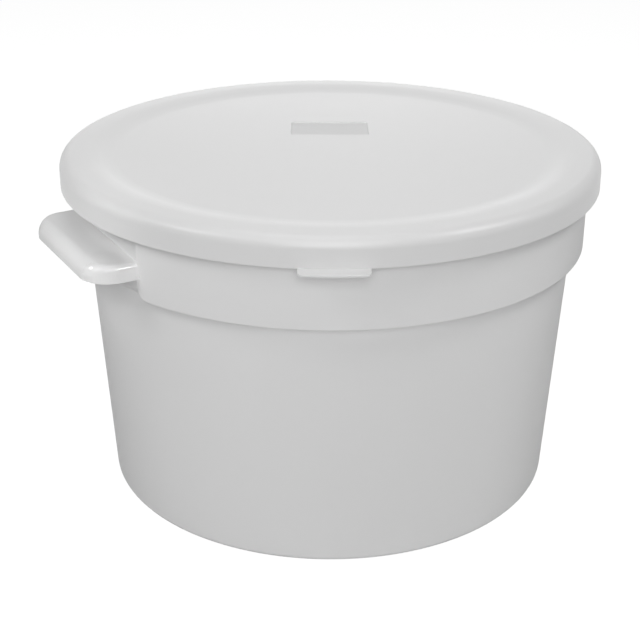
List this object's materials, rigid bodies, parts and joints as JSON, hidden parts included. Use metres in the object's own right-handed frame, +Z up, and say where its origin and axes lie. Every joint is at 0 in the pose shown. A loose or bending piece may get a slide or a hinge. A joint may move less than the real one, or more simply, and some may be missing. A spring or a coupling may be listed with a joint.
{
  "type": "round food storage container",
  "caption": "Round plastic food storage tub with a wide collar, a ledge handle on opposite sides, and a press-on lid with a sunk panel, a lifting tab and a label field.",
  "frame": {"origin": "on the tub's axis, on the surface that its foot stands on", "axes": "+Z up, along the tub's axis; +X through the middle of one handle, -X through the other; the lid's tab points 28.5 degrees from -Y towards -X"},
  "size_m": [0.4286, 0.3996, 0.2545],
  "materials": {
    "container_body": "satin white polyethylene",
    "lid": "satin white polyethylene, a little glossier than the tub"
  },
  "bodies": {
    "container": {"container_body": "container_body"},
    "lid": {"lid": "lid"}
  },
  "joints": [
    {"name": "lid_lift", "type": "slide", "parent": "container", "child": "lid", "axis": [0, 0, 1], "range_m": [0, 0.1]}
  ]
}
